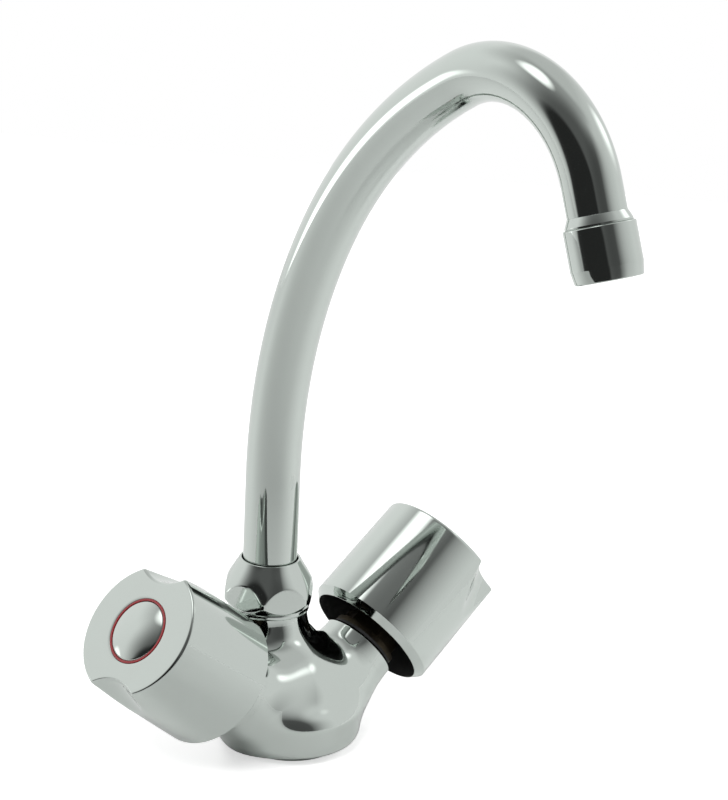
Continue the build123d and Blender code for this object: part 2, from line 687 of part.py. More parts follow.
def valve_washer(side):
    return on_arm(side, sleeve(WASHER_R, CARRIER_STUD_R + THREAD_GAP, SEAT, CARRIER_LOW))


def washer_nut(side):
    nut = hexagon(CARRIER_NUT_WIDE, SEAT - CARRIER_NUT_H, SEAT)
    return on_arm(side, nut - rod(CARRIER_STUD_R + THREAD_GAP, SEAT - CARRIER_NUT_H - OVER, SEAT + OVER))


def main():
    os.makedirs("parts", exist_ok=True)
    single = (body, base_gasket, spout_nut, spout_tail, spout_orings, spout_slide_ring, spout_thrust_ring,
              spout_tube, outlet_ferrule, aerator_housing, aerator_washer, aerator_insert, aerator_screen)
    for make in single:
        export_step(make(), f"parts/{make.__name__}.step")
    paired = (knob, knob_skirt, knob_insert, index_ring, index_cap, knob_screw, bonnet, bonnet_gasket, gland,
              spindle, spindle_orings, spindle_circlip, washer_carrier, valve_washer, washer_nut)
    for side in SIDES:
        for make in paired:
            export_step(make(side), f"parts/{side}_{make.__name__}.step")


main()
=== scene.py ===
import bpy
import numpy as np
from mathutils import Matrix

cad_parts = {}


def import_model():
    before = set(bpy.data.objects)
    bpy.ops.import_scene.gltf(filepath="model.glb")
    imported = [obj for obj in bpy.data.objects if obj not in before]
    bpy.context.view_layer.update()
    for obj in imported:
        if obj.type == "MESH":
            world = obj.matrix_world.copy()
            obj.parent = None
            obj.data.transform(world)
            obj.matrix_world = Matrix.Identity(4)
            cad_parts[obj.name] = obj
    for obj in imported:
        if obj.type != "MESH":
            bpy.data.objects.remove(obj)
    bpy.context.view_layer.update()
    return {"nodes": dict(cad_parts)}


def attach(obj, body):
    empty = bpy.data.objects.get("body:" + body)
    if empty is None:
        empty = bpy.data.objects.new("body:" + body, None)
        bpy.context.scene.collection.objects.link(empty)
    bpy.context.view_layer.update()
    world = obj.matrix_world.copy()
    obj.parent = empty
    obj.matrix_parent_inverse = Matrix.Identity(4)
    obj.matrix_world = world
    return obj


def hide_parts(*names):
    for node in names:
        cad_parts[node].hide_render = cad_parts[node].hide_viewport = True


# The basin mixer's shown surfaces, finishes, lights and camera. The tap's sizes are in millimetres, as
# in the part's own source, and turn to metres where a mesh is made. The studio's are in metres. Heights
# along an arm start where the arms' axes cross, and an arm's shapes are drawn upright before they are
# tilted. Columns and rows count a mesh's points round a shape and along it.

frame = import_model()

MM = 0.001

# Body casting. Its swell and fade have a place and a length along the arm, and each blend a width.
TILT = np.radians(37.2)
CROSS = np.array([0.0, 0.0, 5.9])
ARM_END = 41.5
ARM_R = 14.5
ARM_ROUND = 1.2
ARM_SWELL, ARM_SWELL_AT, ARM_SWELL_LONG = 2.6, 22.3, 8.9
ARM_FADE, ARM_FADE_AT, ARM_FADE_SOFT = 0.86, 13.1, 3.2
MOUND_CENTRE = np.array([0.0, 3.6, 13.6])
MOUND_REACH = np.array([23.7, 24.6, 26.6])
HULL_R, HULL_Y, HULL_LOW, HULL_HIGH = 26.0, 0.5, 2.6, 20.0
HULL_EDGE, HULL_SHOULDER = 4.4, 6.6
ARMS_BLEND, MOUND_BLEND, HULL_BLEND, NECK_BLEND = 6.0, 8.0, 4.7, 9.0
NECK_Y = 14.7
NECK_R = 14.4
COLLAR_R = 15.0
COLLAR_H = 2.0
SPIGOT_R = 13.0
BORE_R = 10.45
BEARING_R = 9.0
CAP_MARGIN = 0.4
SKIN_CENTRE = np.array([0.0, 5.0, 19.0])
SLOPE_STEP = 0.05

# The arms' and the neck's own skins begin at the low places. The body's skin sinks under them past the
# seams, and they sink under it before the seams, by the drop times the way squared.
ARM_LOW, NECK_LOW = 31.0, 41.5
ARM_SEAM, NECK_SEAM, SEAM_DROP = 35.0, 44.5, 0.004
BODY_REACH, RING_REACH = 75.0, 30.0
ARM_ROWS, NECK_ROWS = 28, 26

# Foot, its holes and the recess that it fills
FOOT_R = 17.8
SEAL_R, SEAL_SECTION_R = 14.9, 1.1
INLET_R, INLET_X, INLET_Y, INLET_DEPTH = 4.5, 6.2, 5.0, 14.0
STUD_R, STUD_Y = 3.4, -8.0
RIM_R = FOOT_R - 1.0
RECESS_R = RIM_R - 0.6
RECESS_TOP = INLET_DEPTH + 0.1
PLUG_R = FOOT_R - 1.7
WIDE_CIRCLE_R, WIDE_CIRCLE_COLUMNS, CIRCLE_COLUMNS = 8.0, 96, 48

# Spout nut
NUT_LOW = 51.0
COLLAR_LOW = NUT_LOW - COLLAR_H
SPIGOT_TOP = NUT_LOW + 7.0
NUT_TOP = 68.6
NUT_TOP_R = 11.2
NUT_BELLY_R = 17.5
NUT_BELLY_Z = 56.0
NUT_EDGE = 2.0
NUT_FOOT_R = 15.2
NUT_FLAT = 15.5
NUT_TURN = np.radians(-17.0)
NUT_HOLE_R = 10.45
NUT_CAVITY_R, NUT_CAVITY_TOP = 13.05, 62.05
NUT_CONE = ((0.79, 0.25), (0.53, 0.56), (0.4, 0.69), (0.22, 0.85))
NUT_SIDE, NUT_SOFT, NUT_WALL = 0.35, 0.3, 0.6

# Spout tube and outlet
TUBE_R = 10.0
TUBE_WALL = 1.0
TUBE_LOW = 61.0
TUBE_RISE = 100.0
TUBE_ARCS = ((206.6, 28.8), (175.3, 30.5), (42.6, 100.6))
TUBE_END_RUN = 10.0
TUBE_STEP, RISE_ROWS, RUN_ROWS = 2.0, 20, 5
FERRULE_L, FERRULE_R, FERRULE_EDGE, FERRULE_PLUG = 3.7, 11.3, 0.75, 8.0
THREAD_R, THREAD_L = 10.8, 6.0
OUTLET_BORE_R = 7.5
AERATOR_R = 12.06
AERATOR_TIP_R = 11.3
AERATOR_L = 18.0
AERATOR_TAPER_L = 4.5
AERATOR_BORE_R = 10.2
AERATOR_LIP_R = 9.2
AERATOR_LIP_H = 1.2
AERATOR_SOCKET = 7.6

# Knobs
FACE, REAR, MOUTH = 91.3, 48.2, 45.6
FACE_R, REAR_R, CAVITY_R = 24.9, 25.4, 22.6
LIP, EDGE = 0.4, 1.0
WEB_TOP, WEB_LOW, WEB_R, SLOPE_LOW = 80.0, 74.0, 16.0, 66.0
HUB_HOLE_R = 6.05
INDEX_R, INDEX_WIDTH, INDEX_FLOOR, INDEX_RISE = 12.35, 0.9, 88.0, 0.15
CAP_R, CAP_RISE = 11.35, 2.2
CAP_SKIRT_R, CAP_SKIRT_H, CAP_WALL = 9.9, 4.0, 1.2
CAP_MIDDLE_R, CAP_ROWS = 0.5, 24
SCALLOP_R, SCALLOP_DEPTH, SCALLOP_L = 19.7, 5.7, 17.5
SCALLOP_TURN = {"hot": np.radians(7.0), "cold": np.radians(-73.0)}
SCALLOP_SOFT = 0.7
SIDE_ROWS, EDGE_ROWS, FACE_ROWS = 72, 9, 10
GAP = 0.05

SIDES = {"hot": -1, "cold": 1}


# Places

def arm_axis(side):
    return np.array([SIDES[side] * np.cos(TILT), 0.0, np.sin(TILT)])


def arm_frame(side):
    """Rows: where an upright shape's X, Y and Z directions point once it is tilted onto the arm."""
    along = arm_axis(side)
    across = np.array([0.0, 1.0, 0.0])
    return np.array([np.cross(across, along), across, along])


def on_arm(side, points):
    return CROSS + points @ arm_frame(side)


def along_arm(points, side):
    """Height along an arm's axis, and distance from the axis."""
    place = (points - CROSS) @ arm_axis(side)
    return place, np.linalg.norm(points - CROSS - place[..., None] * arm_axis(side), axis=-1)


def on_neck(points):
    return points + np.array([0.0, NECK_Y, 0.0])


# Mesh makers

def new_piece(name, points, faces, sharp=None, normals=None):
    """Smooth-shaded object from points in millimetres. Edges past the sharp angle, in degrees, stay
    crisp, and points with a normal of their own, not zero, are shaded by it."""
    mesh = bpy.data.meshes.new(name)
    mesh.from_pydata((np.asarray(points).reshape(-1, 3) * MM).tolist(), [], faces)
    mesh.update()
    mesh.polygons.foreach_set("use_smooth", np.ones(len(mesh.polygons), bool))
    if sharp is not None:
        mesh.set_sharp_from_angle(angle=np.radians(sharp))
    if normals is not None:
        mesh.normals_split_custom_set_from_vertices(np.asarray(normals).reshape(-1, 3).tolist())
    piece = bpy.data.objects.new(name, mesh)
    bpy.context.scene.collection.objects.link(piece)
    return piece


def angles(columns):
    return 2 * np.pi * np.arange(columns) / columns


def grid_faces(rows, columns, ring=False):
    """Quads of a grid whose columns run round. As a ring, its last row also meets its first."""
    i, j = np.meshgrid(np.arange(rows if ring else rows - 1), np.arange(columns), indexing="ij")
    up, on = (i + 1) % rows, (j + 1) % columns
    corners = (i * columns + j, i * columns + on, up * columns + on, up * columns + j)
    return np.stack(corners, -1).reshape(-1, 4).tolist()


def fan(first, columns, pole, flip=False):
    """Triangles from one row of a grid to a pole."""
    j = np.arange(columns)
    a, b = first + j, first + (j + 1) % columns
    return np.stack([b, a, 0 * j + pole] if flip else [a, b, 0 * j + pole], -1).tolist()


def closed_faces(rows, columns):
    """Faces of a grid and of the fans that close its first and last row with the two points after it."""
    count = rows * columns
    ends = fan(0, columns, count, flip=True) + fan(count - columns, columns, count + 1)
    return grid_faces(rows, columns) + ends


def rounded(corners, steps=6):
    """Outline of (radius, height, rounding) corners, walked with the solid on its left. Each rounded
    corner becomes an arc that touches both sides."""
    corners = np.asarray(corners, float)
    outline = []
    for before, here, after in zip(np.roll(corners, 1, 0), corners, np.roll(corners, -1, 0)):
        back, on = before[:2] - here[:2], after[:2] - here[:2]
        back, on = back / np.linalg.norm(back), on / np.linalg.norm(on)
        half = np.arccos(np.clip(back @ on, -1, 1)) / 2
        if here[2] == 0:
            outline.append(here[:2])
            continue
        middle = (back + on) / np.linalg.norm(back + on)
        centre = here[:2] + middle * here[2] / np.sin(half)
        start, end = here[:2] + back * here[2] / np.tan(half), here[:2] + on * here[2] / np.tan(half)
        for share in np.linspace(0, 1, steps + 1):
            spoke = (start - centre) * (1 - share) + (end - centre) * share
            outline.append(centre + spoke / np.linalg.norm(spoke) * here[2])
    return np.array(outline)


def refined(outline, longest, closed=True):
    """Outline with points added so that no side is longer than given."""
    following = np.roll(outline, -1, axis=0)
    sides = list(zip(outline, following))
    parts = []
    for a, b in sides if closed else sides[:-1]:
        count = max(1, int(np.ceil(np.linalg.norm(b - a) / longest)))
        parts.append(a + (b - a) * (np.arange(count) / count)[:, None])
    return np.concatenate(parts if closed else parts + [outline[-1:]])


def turned(outline, columns):
    """Outline of (radius, height) carried round Z: x = r cos a, y = r sin a. A radius is one number, or
    one for each column."""
    a = angles(columns)
    return np.array([np.stack([r * np.cos(a), r * np.sin(a), z + 0 * a], -1) for r, z in outline])


def ring_piece(name, grid, sharp):
    """Piece from a grid of points whose rows run round it and whose last row meets its first."""
    return new_piece(name, grid, grid_faces(*grid.shape[:2], ring=True), sharp)


def turned_piece(name, corners, place, columns=128, longest=4.0):
    return ring_piece(name, place(turned(refined(rounded(corners), longest), columns)), sharp=35)


# Casting skin

def smooth_min(a, b, width):
    """Smaller of two values, rounded off where they are closer than the width:
    b + (a - b) h - width h (1 - h), where h = 1/2 + (b - a) / (2 width), kept in 0 to 1."""
    h = np.clip(0.5 + 0.5 * (b - a) / width, 0, 1)
    return b + (a - b) * h - width * h * (1 - h)


def arm_field(p, side):
    """Distance outside an arm: a round bar that swells like a bell curve halfway and fades inwards."""
    along = arm_axis(side)
    place = (p - CROSS) @ along
    away = np.linalg.norm(p - CROSS - np.maximum(place, 0)[..., None] * along, axis=-1)
    swell = ARM_SWELL * np.exp(-((place - ARM_SWELL_AT) / ARM_SWELL_LONG) ** 2)
    fade = ARM_FADE * ARM_FADE_SOFT * np.logaddexp(0, (ARM_FADE_AT - place) / ARM_FADE_SOFT)
    return away - (ARM_R + swell - fade)


def mound_field(p):
    """Distance outside the ellipsoid between the arms, by its shortest reach."""
    return (np.linalg.norm((p - MOUND_CENTRE) / MOUND_REACH, axis=-1) - 1) * MOUND_REACH.min()


def hull_field(p):
    """Distance outside the drum over the foot, whose shoulder is rounder than its lower edge."""
    bend = np.where(p[..., 2] < (HULL_LOW + HULL_HIGH) / 2, HULL_EDGE, HULL_SHOULDER)
    out = np.hypot(p[..., 0], p[..., 1] - HULL_Y) - (HULL_R - bend)
    up = np.maximum(HULL_LOW + bend - p[..., 2], p[..., 2] - (HULL_HIGH - bend))
    return np.hypot(np.maximum(out, 0), np.maximum(up, 0)) + np.minimum(np.maximum(out, up), 0) - bend


def casting(p):
    """Zero on the cast body's skin: arms, mound, hull and neck run into one another softly."""
    neck = np.hypot(p[..., 0], p[..., 1] - NECK_Y) - NECK_R
    form = smooth_min(arm_field(p, "hot"), arm_field(p, "cold"), ARMS_BLEND)
    form = smooth_min(form, mound_field(p), MOUND_BLEND)
    form = smooth_min(form, hull_field(p), HULL_BLEND)
    return np.maximum(smooth_min(form, neck, NECK_BLEND), HULL_LOW - p[..., 2])


def slope(p):
    """Unit gradient of the casting, by differences, which shades its skin without facets."""
    steps = SLOPE_STEP * np.eye(3)
    steep = np.stack([casting(p + step) - casting(p - step) for step in steps], -1)
    return steep / np.linalg.norm(steep, axis=-1, keepdims=True)


def first_exit(field, start, rays, far, steps=70, halvings=16):
    """Distance along each ray at which the field turns positive: even steps, then halving."""
    low, high = np.zeros(rays.shape[:-1]), np.full(rays.shape[:-1], float(far))
    found = np.zeros(low.shape, bool)
    for a, b in zip(np.linspace(0, far, steps)[:-1], np.linspace(0, far, steps)[1:]):
        out = field(start + rays * b) > 0
        low, high = np.where(out & ~found, a, low), np.where(out & ~found, b, high)
        found |= out
    for _ in range(halvings):
        middle = (low + high) / 2
        inside = field(start + rays * middle[..., None]) <= 0
        low, high = np.where(inside, middle, low), np.where(inside, high, middle)
    return (low + high) / 2


def trimmed(p):
    """The casting without its arm ends and neck top, and sunk a little where their own skins begin."""
    form = casting(p) + SEAM_DROP * np.maximum(p[..., 2] - NECK_SEAM, 0) ** 2
    form = np.maximum(form, p[..., 2] - COLLAR_LOW)
    for side in SIDES:
        place = (p - CROSS) @ arm_axis(side)
        sunk = form + SEAM_DROP * np.maximum(place - ARM_SEAM, 0) ** 2
        form = np.maximum(sunk, place - (ARM_END - ARM_ROUND))
    return form


def casting_skin(columns=400, rows=180):
    """Rays from inside the body, from the foot's rim round to straight up, each stopped at the skin.
    Below, the shell turns up into a recess that holds the foot. Gives the grid, its normals, which
    are zero on the recess, and the two poles."""
    around = angles(columns)
    shift = SKIN_CENTRE[1]
    out = -shift * np.sin(around) + np.sqrt(RIM_R ** 2 - (shift * np.cos(around)) ** 2)
    lean = np.linspace(1, 0, rows + 1)[:-1, None] * (np.pi - np.arctan2(out, SKIN_CENTRE[2] - HULL_LOW))
    rays = np.stack([np.sin(lean) * np.cos(around), np.sin(lean) * np.sin(around), np.cos(lean)], -1)
    skin = SKIN_CENTRE + rays * first_exit(trimmed, SKIN_CENTRE, rays, BODY_REACH)[..., None]
    spokes = skin[0] * (1, 1, 0) / np.linalg.norm(skin[0, :, :2], axis=-1, keepdims=True)
    recess = [spokes * RECESS_R + (0, 0, height) for height in (RECESS_TOP, HULL_LOW)]
    crown = first_exit(trimmed, SKIN_CENTRE, np.array([[0, 0, 1.0]]), BODY_REACH)[0]
    poles = np.array([(0, 0, RECESS_TOP), SKIN_CENTRE + (0, 0, crown)])
    grid = np.concatenate([recess, skin])
    normals = np.zeros(grid.shape)
    normals[2:] = slope(skin)
    return grid, normals, poles


def ring_skin(place, heights, rows_after, seam, columns=200):
    """Rings of rays square to an axis, stopped at the casting's skin at each height, then the rows
    that finish the end. The skin sinks a little towards the end that the body's own skin covers."""
    around = angles(columns)
    spokes = np.stack([np.cos(around), np.sin(around), 0 * around], -1)
    starts = np.array([[0.0, 0.0, 1.0]]) * heights[:, None]
    rays = place(np.broadcast_to(spokes, (len(heights), columns, 3))) - place(np.zeros(3))
    reach = first_exit(casting, place(starts)[:, None, :], rays, RING_REACH)
    reach -= SEAM_DROP * np.maximum(seam - heights, 0)[:, None] ** 2
    skin = spokes * reach[..., None] + starts[:, None, :]
    grid = np.concatenate([skin, turned(rows_after(reach[-1]), columns)])
    normals = np.zeros(grid.shape)
    normals[:len(heights)] = slope(place(skin))
    return place(grid), normals


def arm_mouth_rows(last):
    """Rounded rim, end face, and the threaded bore's wall down to where the skin began."""
    turn = np.linspace(0, np.pi / 2, 7)[1:]
    rows = [(last - ARM_ROUND * (1 - np.cos(t)), ARM_END - ARM_ROUND * (1 - np.sin(t))) for t in turn]
    rim = last - ARM_ROUND
    rows += [(rim + (BORE_R - rim) * share, ARM_END) for share in (0.35, 0.7, 0.98)]
    return rows + [(BORE_R, ARM_END - 0.3), (BORE_R, ARM_LOW)]


def neck_top_rows(last):
    """Collar step, its flat top, the spigot inside the nut and the bearing's wall."""
    low, top = COLLAR_LOW, NUT_LOW
    return [(last + 0.1, low - 0.02), (last + 0.45, low + 0.05), (COLLAR_R, low + 0.25), (COLLAR_R, top - 0.2),
            (COLLAR_R - 0.15, top), (SPIGOT_R, top), (SPIGOT_R, SPIGOT_TOP), (BEARING_R, SPIGOT_TOP),
            (BEARING_R, NECK_LOW)]


def foot_plates():
    """Flat round plates with holes, as (outlines as (radius, x, y), low, high)."""
    holes = [(INLET_R, INLET_X, INLET_Y), (INLET_R, -INLET_X, INLET_Y), (STUD_R, 0.0, STUD_Y)]
    groove_top = 2 * SEAL_SECTION_R
    return [([(FOOT_R, 0, 0), (SEAL_R + SEAL_SECTION_R, 0, 0)], 0.0, groove_top),
            ([(SEAL_R - SEAL_SECTION_R, 0, 0)] + holes, 0.0, groove_top),
            ([(FOOT_R, 0, 0)] + holes, groove_top, HULL_LOW),
            ([(PLUG_R, 0, 0)] + holes, HULL_LOW, INLET_DEPTH)]


def plate_mesh(outlines, low, high):
    """One flat curve of circles, filled between them and given its thickness, as a mesh."""
    curve = bpy.data.curves.new("plate", "CURVE")
    curve.dimensions, curve.fill_mode, curve.extrude = "2D", "BOTH", (high - low) / 2 * MM
    for radius, x, y in outlines:
        count = WIDE_CIRCLE_COLUMNS if radius > WIDE_CIRCLE_R else CIRCLE_COLUMNS
        a = angles(count)
        spline = curve.splines.new("POLY")
        spline.points.add(count - 1)
        across, up = (x + radius * np.cos(a)) * MM, (y + radius * np.sin(a)) * MM
        circle = np.stack([across, up, 0 * a, np.ones(count)], -1)
        spline.points.foreach_set("co", circle.ravel())
        spline.use_cyclic_u = True
    holder = bpy.data.objects.new("plate", curve)
    mesh = bpy.data.meshes.new_from_object(holder)
    bpy.data.objects.remove(holder)
    bpy.data.curves.remove(curve)
    points = np.empty(len(mesh.vertices) * 3)
    mesh.vertices.foreach_get("co", points)
    points = points.reshape(-1, 3) / MM + (0, 0, (low + high) / 2)
    faces = [tuple(face.vertices) for face in mesh.polygons]
    bpy.data.meshes.remove(mesh)
    return points, faces


def joined(parts):
    """Several (points, faces, normals) lists as one."""
    points, faces, normals, start = [], [], [], 0
    for part in parts:
        flat = np.asarray(part[0]).reshape(-1, 3)
        points.append(flat)
        normals.append(np.zeros(flat.shape) if len(part) < 3 else np.asarray(part[2]).reshape(-1, 3))
        faces += [tuple(start + corner for corner in face) for face in part[1]]
        start += len(flat)
    return np.concatenate(points), faces, np.concatenate(normals)


def opened(points, faces, normals):
    """The skin without the hidden faces that would close the arms' bores and the neck's bearing. Its
    edges there stay open, inside the walls."""
    away = np.hypot(points[:, 0], points[:, 1] - NECK_Y)
    closing = (away < BEARING_R + CAP_MARGIN) & (points[:, 2] > COLLAR_LOW - CAP_MARGIN)
    for side in SIDES:
        place, away = along_arm(points, side)
        closing |= (away < BORE_R + CAP_MARGIN) & (place > ARM_END - ARM_ROUND - CAP_MARGIN)
    faces = [face for face in faces if not closing[list(face)].any()]
    used = np.zeros(len(points), bool)
    used[np.concatenate(faces)] = True
    number = np.cumsum(used) - 1
    return points[used], [tuple(number[list(face)].tolist()) for face in faces], normals[used]


def body_piece():
    """The casting: one skin from the foot up, a skin for each arm's mouth, one for the neck's top, and
    the flat plates of the foot."""
    grid, normals, poles = casting_skin()
    parts = [opened(np.concatenate([grid.reshape(-1, 3), poles]), closed_faces(*grid.shape[:2]),
                    np.concatenate([normals.reshape(-1, 3), np.zeros((2, 3))]))]
    arm_heights = np.linspace(ARM_LOW, ARM_END - ARM_ROUND, ARM_ROWS)
    rings = [ring_skin(lambda p: on_arm(side, p), arm_heights, arm_mouth_rows, ARM_SEAM) for side in SIDES]
    neck_heights = np.linspace(NECK_LOW, COLLAR_LOW - 0.1, NECK_ROWS)
    rings.append(ring_skin(on_neck, neck_heights, neck_top_rows, NECK_SEAM))
    parts += [(ring, grid_faces(*ring.shape[:2], ring=True), shade) for ring, shade in rings]
    parts += [plate_mesh(*plate) for plate in foot_plates()]
    points, faces, normals = joined(parts)
    return new_piece("body_casting", points, faces, sharp=30, normals=normals)


# Nut, tube and outlet

def hexagon_reach(around, flat, turn):
    """Distance to a hexagon's side in each direction: flat / cos(angle off the nearest flat)."""
    off = (around - turn) % (np.pi / 3) - np.pi / 6
    return flat / np.cos(off)


def nut_piece(columns=384):
    """Turned cone and belly, cut by a hexagon's flats with slightly softened edges."""
    shares = np.array([(0.0, 1.0), *NUT_CONE[::-1], (1.0, 0.0)])
    cone = np.polyfit(shares[:, 0], shares[:, 1], 4)
    up = np.linspace(0, 0.97, 40)
    cone_r = NUT_TOP_R + (NUT_BELLY_R - NUT_TOP_R) * np.polyval(cone, up)
    cone_z = NUT_BELLY_Z + (NUT_TOP - NUT_BELLY_Z) * up
    corners = [(NUT_CAVITY_R, NUT_LOW, 0), (NUT_FOOT_R, NUT_LOW, 0.3), (NUT_BELLY_R, NUT_BELLY_Z - NUT_EDGE, 0.9)]
    corners += [(r, z, 0) for r, z in zip(cone_r, cone_z)]
    corners += [(NUT_TOP_R, NUT_TOP, 0.35), (NUT_HOLE_R, NUT_TOP, 0.2), (NUT_HOLE_R, NUT_CAVITY_TOP, 0),
                (NUT_CAVITY_R, NUT_CAVITY_TOP, 0)]
    grid = turned(refined(rounded(corners), NUT_SIDE), columns)
    radius = np.hypot(grid[..., 0], grid[..., 1])
    cut = smooth_min(radius, hexagon_reach(angles(columns), NUT_FLAT, NUT_TURN), NUT_SOFT)
    cut = np.where(radius > NUT_CAVITY_R + NUT_WALL, cut, radius)
    grid[..., :2] *= (cut / radius)[..., None]
    return ring_piece("spout_ring_nut", on_neck(grid), sharp=40)


def spout_line():
    """Points and headings of the tube's centre line. The heading turns from upright towards the user,
    and along an arc of radius R the point moves by R (cos h - cos h0, sin h - sin h0) in Y and Z."""
    place, heading = np.array([NECK_Y, TUBE_LOW]), 0.0
    places, headings = [place[None]], [np.zeros(1)]
    rise = np.arange(1, RISE_ROWS + 1)[:, None] / RISE_ROWS * (TUBE_RISE - TUBE_LOW)
    places.append(place + rise * (0, 1))
    headings.append(np.zeros(RISE_ROWS))
    place = places[-1][-1]
    for radius, turn in TUBE_ARCS:
        count = int(np.ceil(radius * np.radians(turn) / TUBE_STEP))
        h = heading + np.radians(turn) * np.arange(1, count + 1) / count
        bend = np.stack([np.cos(h) - np.cos(heading), np.sin(h) - np.sin(heading)], -1)
        places.append(place + radius * bend)
        headings.append(h)
        place, heading = places[-1][-1], h[-1]
    ahead = np.array([-np.sin(heading), np.cos(heading)])
    run = np.arange(1, RUN_ROWS + 1)[:, None] / RUN_ROWS * TUBE_END_RUN
    places.append(place + run * ahead)
    headings.append(heading + np.zeros(RUN_ROWS))
    return np.concatenate(places), np.concatenate(headings)


def tube_piece(columns=96):
    """Circle carried along the centre line, outside and inside, joined at both ends."""
    places, headings = spout_line()
    around = angles(columns)
    across = np.array([1.0, 0.0, 0.0])
    back = np.stack([0 * headings, np.cos(headings), np.sin(headings)], -1)
    middle = np.stack([0 * headings, places[:, 0], places[:, 1]], -1)
    spoke = np.cos(around)[:, None] * across + np.sin(around)[:, None] * back[:, None, :]
    outer = middle[:, None, :] + TUBE_R * spoke
    inner = middle[:, None, :] + (TUBE_R - TUBE_WALL) * spoke
    return ring_piece("spout_bend", np.concatenate([outer, inner[::-1]]), sharp=40)


def on_outlet(points):
    """Upright shape moved to the outlet: height 0 is the aerator's top and Z runs back up the tube."""
    places, headings = spout_line()
    ahead = np.array([0.0, -np.sin(headings[-1]), np.cos(headings[-1])])
    start = np.array([0.0, *places[-1]]) + ahead * FERRULE_L
    across = np.array([1.0, 0.0, 0.0])
    return start + points @ np.array([across, np.cross(-ahead, across), -ahead])


def ferrule_piece():
    return turned_piece("spout_end_ring", [
        (OUTLET_BORE_R, -THREAD_L, 0), (THREAD_R, -THREAD_L, 0.3), (THREAD_R, 0, 0), (FERRULE_R, 0, 0.2),
        (FERRULE_R, FERRULE_EDGE, 0.4), (TUBE_R, FERRULE_L, 0.1), (TUBE_R - TUBE_WALL, FERRULE_L, 0),
        (TUBE_R - TUBE_WALL, FERRULE_L + FERRULE_PLUG, 0), (OUTLET_BORE_R, FERRULE_L + FERRULE_PLUG, 0)],
        on_outlet)


def aerator_piece():
    tip = -AERATOR_L
    return turned_piece("aerator_sleeve", [
        (AERATOR_LIP_R, tip, 0.3), (AERATOR_TIP_R, tip, 0.5), (AERATOR_R, tip + AERATOR_TAPER_L, 0.8),
        (AERATOR_R, 0, 0.4), (THREAD_R + GAP, 0, 0.1), (THREAD_R + GAP, -AERATOR_SOCKET, 0),
        (AERATOR_BORE_R, -AERATOR_SOCKET, 0), (AERATOR_BORE_R, tip + AERATOR_LIP_H, 0),
        (AERATOR_LIP_R, tip + AERATOR_LIP_H, 0)], on_outlet)


# Knobs

def scallop_reach(around, height):
    """Distance along a ray from the knob's axis to the leaning round cutter of a scallop. At one height
    the cutter is an ellipse, and the ray meets it at (b - sqrt(b b - a c)) / a."""
    lean = np.arctan2(SCALLOP_DEPTH, SCALLOP_L)
    wide = SCALLOP_R / np.cos(lean)
    middle = FACE_R - SCALLOP_DEPTH + wide + np.tan(lean) * (FACE - height)
    a = (np.cos(around) / wide) ** 2 + (np.sin(around) / SCALLOP_R) ** 2
    b = middle * np.cos(around) / wide ** 2
    under = b ** 2 - a * ((middle / wide) ** 2 - 1)
    hit = (b - np.sqrt(np.maximum(under, 0))) / a
    return np.where((under > 0) & (b > 0), hit, 2 * REAR_R)


def knob_wall(side, around, height):
    """Outer radius: a slight taper from rear to face, softly cut by two opposed scallops."""
    radius = REAR_R + (FACE_R - REAR_R) * (height - REAR) / (FACE - REAR)
    for turn in (0, np.pi):
        radius = smooth_min(radius, scallop_reach(around - SCALLOP_TURN[side] - turn, height), SCALLOP_SOFT)
    return radius


def knob_piece(side, columns=288):
    """Hollow knob in one ring of rows: web, cavity, mouth, bevel, scalloped side, edge, face, recess."""
    around = angles(columns)
    under = rounded([(HUB_HOLE_R, WEB_LOW, 0), (WEB_R, WEB_LOW, 1.5), (CAVITY_R, SLOPE_LOW, 3.0),
                     (CAVITY_R, MOUTH, 0.15), (CAVITY_R + LIP, MOUTH, 0.15), (REAR_R, REAR, 0)])
    rows = list(refined(under, 3.0, closed=False))
    for share in np.linspace(0, 1, SIDE_ROWS)[1:]:
        height = REAR + (FACE - EDGE - REAR) * share
        rows.append((knob_wall(side, around, height), height))
    for turn in np.linspace(0, np.pi / 2, EDGE_ROWS)[1:]:
        height = FACE - EDGE * (1 - np.sin(turn))
        rows.append((knob_wall(side, around, height) - EDGE * (1 - np.cos(turn)), height))
    rim = knob_wall(side, around, FACE) - EDGE
    hole, well = INDEX_R + GAP, CAP_SKIRT_R + GAP
    rows += [(rim + (hole + 0.3 - rim) * share, FACE) for share in np.linspace(0, 1, FACE_ROWS)[1:]]
    rows += [(hole + 0.1, FACE - 0.08), (hole, FACE - 0.3), (hole, INDEX_FLOOR), (well, INDEX_FLOOR),
             (well, WEB_TOP), (HUB_HOLE_R, WEB_TOP)]
    return ring_piece(side + "_knob_shell", on_arm(side, turned(rows, columns)), sharp=30)


def paint_cavity_shade(piece, side, material):
    """Second finish on the faces round the inside of the skirt, under the web: a near-black painted shade for the
    knob's shadowed hollow.
    """
    piece.data.materials.append(material)
    middles = np.empty(len(piece.data.polygons) * 3)
    piece.data.polygons.foreach_get("center", middles)
    place, away = along_arm(middles.reshape(-1, 3) / MM, side)
    inside = (away < CAVITY_R + 2 * GAP) & (place < WEB_LOW + 2 * GAP)
    piece.data.polygons.foreach_set("material_index", inside.astype(np.int32))


def index_ring_piece(side):
    inner, top = INDEX_R - INDEX_WIDTH, FACE + INDEX_RISE
    corners = [(inner, INDEX_FLOOR, 0), (INDEX_R, INDEX_FLOOR, 0), (INDEX_R, top, 0.2), (inner, top, 0.2)]
    return turned_piece(side + "_index_band", corners, lambda p: on_arm(side, p))


